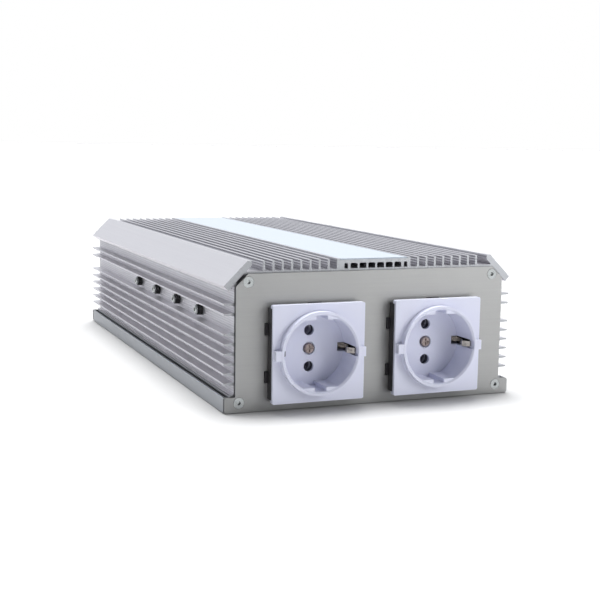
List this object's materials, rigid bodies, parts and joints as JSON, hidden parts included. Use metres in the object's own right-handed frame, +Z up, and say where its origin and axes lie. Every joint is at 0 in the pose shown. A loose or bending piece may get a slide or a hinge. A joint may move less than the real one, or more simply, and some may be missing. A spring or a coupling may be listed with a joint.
{
  "type": "power inverter",
  "caption": "Power inverter in a finned aluminium extrusion with slanted wings, square earthed mains sockets in front and a fan, switch and battery terminals behind",
  "frame": {"origin": "centre of the case's underside, on the surface it rests on", "axes": "+Z up, +Y along the case from the sockets towards the battery terminals, +X to the right when facing the sockets"},
  "size_m": [0.163, 0.3496, 0.076],
  "materials": {
    "anodised_aluminium": "clear satin anodised extrusion",
    "tray_aluminium": "clear satin anodised extrusion, slightly darker",
    "panel_aluminium": "fine satin, light warm grey",
    "plate_film": "glossy pale bluish film on a thin plate",
    "zinc_steel": "bright zinc plated",
    "chromed_wire": "bright chromed",
    "white_plastic": "white moulded thermoplastic, faint gloss",
    "black_plastic": "black moulded, fine matt grain",
    "insert_plastic": "dark thermoset",
    "clip_metal": "nickelled brass, dull",
    "contact_brass": "bare brass",
    "socket_screw_metal": "passivated, pinkish",
    "bar_aluminium": "plain mill finish",
    "washer_black": "black",
    "epoxy_black": "moulded epoxy",
    "board_green": "solder resist",
    "ferrite": "dull dark grey ferrite",
    "winding_tape": "yellow taped copper winding",
    "choke_ring": "painted iron powder ring",
    "enamelled_copper": "enamelled copper wire",
    "capacitor_blue": "shrink sleeve",
    "capacitor_black": "shrink sleeve",
    "fuse_orange": "tinted blade fuse",
    "red_plastic": "moulded red",
    "terminal_black": "moulded black",
    "stud_brass": "plain brass",
    "rocker_red": "moulded red, plain",
    "lens_green": "tinted clear lens",
    "lens_red": "tinted clear lens",
    "cable_red": "soft cable sheath",
    "cable_black": "soft cable sheath",
    "cable_brown": "soft cable sheath",
    "cable_blue": "soft cable sheath",
    "cable_green_yellow": "soft cable sheath"
  },
  "bodies": {
    "case": {"heat_sink_shell": "anodised_aluminium", "base_tray": "tray_aluminium", "roof_plate": "plate_film", "front_panel": "panel_aluminium", "rear_panel": "panel_aluminium", "panel_screws": "zinc_steel", "left_socket_cover": "white_plastic", "left_socket_frame": "black_plastic", "left_socket_insert": "insert_plastic", "left_earth_clip": "clip_metal", "left_live_contact": "contact_brass", "left_neutral_contact": "contact_brass", "left_socket_screw": "socket_screw_metal", "right_socket_cover": "white_plastic", "right_socket_frame": "black_plastic", "right_socket_insert": "insert_plastic", "right_earth_clip": "clip_metal", "right_live_contact": "contact_brass", "right_neutral_contact": "contact_brass", "right_socket_screw": "socket_screw_metal", "left_heat_bar": "bar_aluminium", "right_heat_bar": "bar_aluminium", "bar_screws": "zinc_steel", "bar_washers": "washer_black", "left_transistors": "epoxy_black", "right_transistors": "epoxy_black", "transistor_screws": "zinc_steel", "main_board": "board_green", "board_standoffs": "contact_brass", "board_screws": "zinc_steel", "transformer_cores": "ferrite", "transformer_windings": "winding_tape", "choke_core": "choke_ring", "choke_winding": "enamelled_copper", "input_capacitors": "capacitor_blue", "bus_capacitors": "capacitor_black", "fuses": "fuse_orange", "fan_frame": "black_plastic", "fan_guard": "chromed_wire", "fan_screws": "zinc_steel", "positive_terminal_base": "red_plastic", "negative_terminal_base": "terminal_black", "positive_stud": "stud_brass", "negative_stud": "stud_brass", "terminal_nuts": "zinc_steel", "earth_stud": "zinc_steel", "earth_nut": "zinc_steel", "switch_housing": "black_plastic", "power_lens": "lens_green", "fault_lens": "lens_red", "positive_lead": "cable_red", "negative_lead": "cable_black", "live_leads": "cable_brown", "neutral_leads": "cable_blue", "earth_leads": "cable_green_yellow", "fan_lead": "cable_black"},
    "fan_impeller": {"fan_rotor": "black_plastic", "fan_shaft": "zinc_steel"},
    "rocker": {"switch_rocker": "rocker_red"}
  },
  "joints": [
    {"name": "fan_spin", "type": "hinge", "parent": "case", "child": "fan_impeller", "pos_m": [0.0353, 0.148, 0.035], "axis": [0, 1, 0], "continuous": true},
    {"name": "power_switch", "type": "hinge", "parent": "case", "child": "rocker", "pos_m": [-0.0478, 0.1555, 0.053], "axis": [1, 0, 0], "range_deg": [0, 20]}
  ]
}
